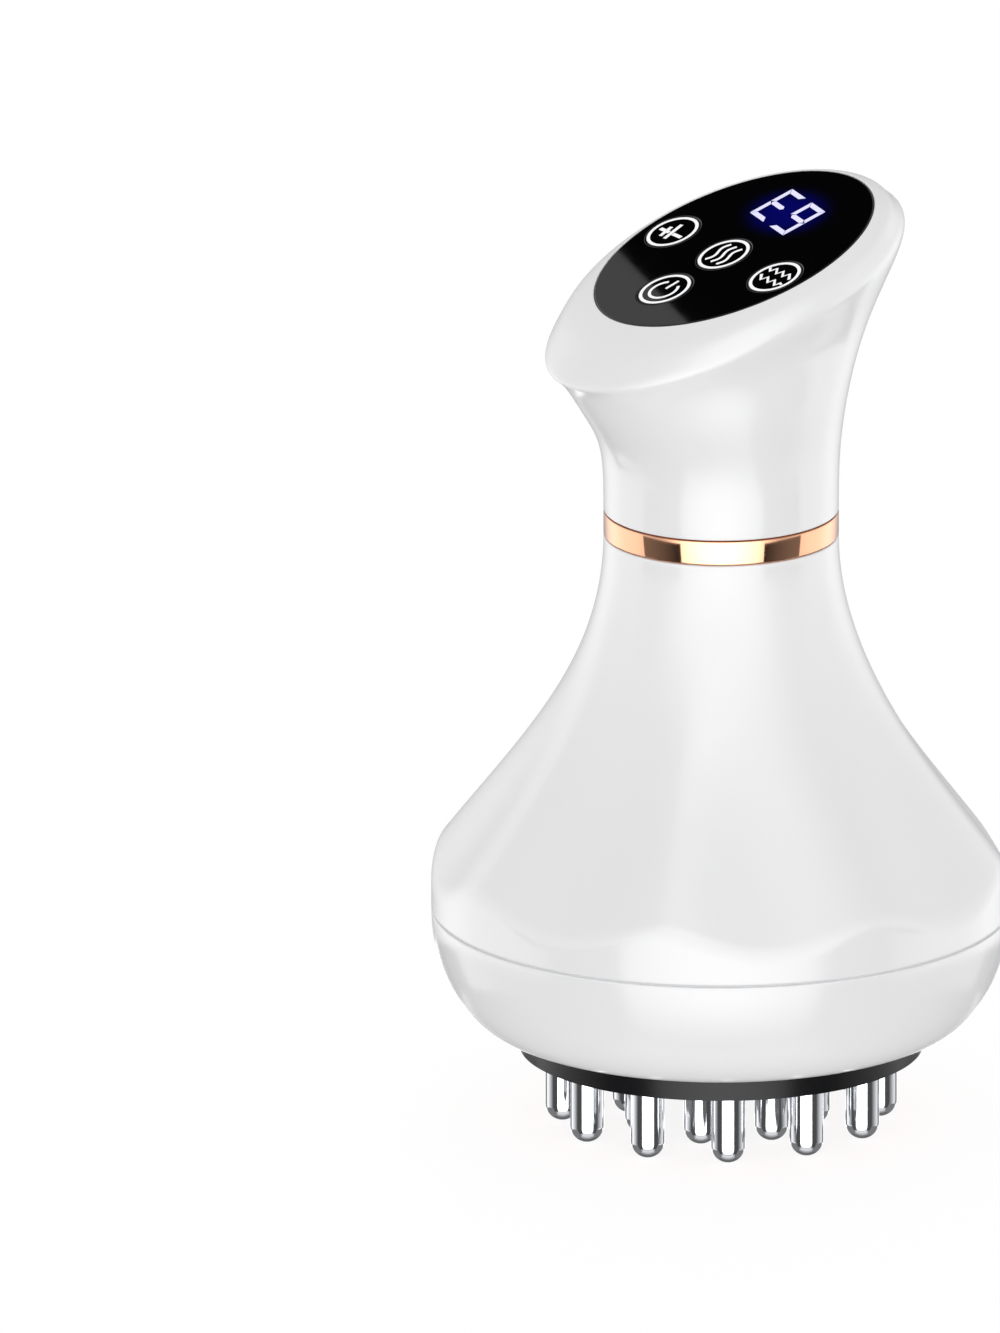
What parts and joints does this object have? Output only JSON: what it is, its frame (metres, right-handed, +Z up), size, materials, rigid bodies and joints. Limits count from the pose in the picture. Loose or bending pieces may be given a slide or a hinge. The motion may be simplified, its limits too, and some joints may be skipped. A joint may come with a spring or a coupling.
{
  "type": "lymphatic drainage massager",
  "caption": "Handheld body massager with a round pin-studded base, red light ring, fluted bell, gold-coloured band and a tilted head with a key panel.",
  "frame": {"origin": "on the axis of the round base, at the pin tips that it stands on", "axes": "+Z up along the base's axis; the panel slopes down towards -Y and +X is to the right of someone who reads it"},
  "size_m": [0.1, 0.1, 0.1648],
  "materials": {
    "white_shell": "gloss moulded, white",
    "gold_plate": "polished rose-gold plating",
    "seal": "soft, matt",
    "black_gloss": "mirror gloss, black",
    "gasket": "adhesive foam",
    "switch_body": "moulded",
    "display": "moulded",
    "circuit_board": "solder mask",
    "black_part": "moulded",
    "black_plate": "satin gloss, black",
    "chrome_pin": "polished plating",
    "brass_part": "turned",
    "film": "amber film",
    "grey_part": "moulded",
    "steel_part": "plated",
    "magnet": "bare",
    "weight": "turned",
    "coil": "wound and sleeved",
    "battery": "shrink sleeve",
    "wire": "insulated",
    "ribbon": "flat cable",
    "red_lens": "translucent red, lit",
    "lamp": "clear red, lit"
  },
  "bodies": {
    "housing": {"handle_shell": "white_shell", "gold_band": "gold_plate", "bell_shell": "white_shell", "base_shell": "white_shell", "seam_seal": "seal", "control_panel": "black_gloss", "panel_gasket": "gasket", "key_switches": "switch_body", "display_module": "display", "ui_board": "circuit_board", "ui_board_screws": "steel_part", "beeper": "black_part", "pin_plate": "black_plate", "light_ring": "red_lens", "outer_pins": "chrome_pin", "inner_pins": "chrome_pin", "centre_pin": "chrome_pin", "pin_nuts": "brass_part", "heating_film": "film", "electrode_board": "circuit_board", "red_lamps": "lamp", "clamp_ring": "grey_part", "clamp_screws": "steel_part", "motor_frame": "grey_part", "frame_screws": "steel_part", "motor_can": "steel_part", "motor_cap": "black_part", "motor_bearings": "brass_part", "motor_magnets": "magnet", "motor_screws": "steel_part", "driver_board": "circuit_board", "driver_board_screws": "steel_part", "control_chip": "black_part", "boost_transformer": "coil", "capacitors": "coil", "board_connectors": "grey_part", "battery_cell": "battery", "battery_cradle": "grey_part", "battery_contacts": "steel_part", "neck_screws": "steel_part", "charge_socket": "steel_part", "socket_tongue": "black_part", "charge_board": "circuit_board", "battery_wires": "wire", "motor_wires": "wire", "electrode_wires": "wire", "charge_wires": "wire", "panel_ribbon": "ribbon"},
    "power_button": {"power_key": "black_gloss", "power_plunger": "switch_body"},
    "intensity_button": {"intensity_key": "black_gloss", "intensity_plunger": "switch_body"},
    "heat_button": {"heat_key": "black_gloss", "heat_plunger": "switch_body"},
    "mode_button": {"mode_key": "black_gloss", "mode_plunger": "switch_body"},
    "rotor": {"motor_shaft": "steel_part", "motor_rotor": "magnet", "eccentric_weight": "weight"}
  },
  "joints": [
    {"name": "power_press", "type": "slide", "parent": "housing", "child": "power_button", "axis": [0, -0.342, 0.9397], "range_m": [-0.00035, 0], "stiffness_N_per_m": 900, "springref_m": 0.0002},
    {"name": "intensity_press", "type": "slide", "parent": "housing", "child": "intensity_button", "axis": [0, -0.342, 0.9397], "range_m": [-0.00035, 0], "stiffness_N_per_m": 900, "springref_m": 0.0002},
    {"name": "heat_press", "type": "slide", "parent": "housing", "child": "heat_button", "axis": [0, -0.342, 0.9397], "range_m": [-0.00035, 0], "stiffness_N_per_m": 900, "springref_m": 0.0002},
    {"name": "mode_press", "type": "slide", "parent": "housing", "child": "mode_button", "axis": [0, -0.342, 0.9397], "range_m": [-0.00035, 0], "stiffness_N_per_m": 900, "springref_m": 0.0002},
    {"name": "motor_spin", "type": "hinge", "parent": "housing", "child": "rotor", "pos_m": [0, 0, 0.0369], "axis": [0, 0, 1], "continuous": true}
  ]
}
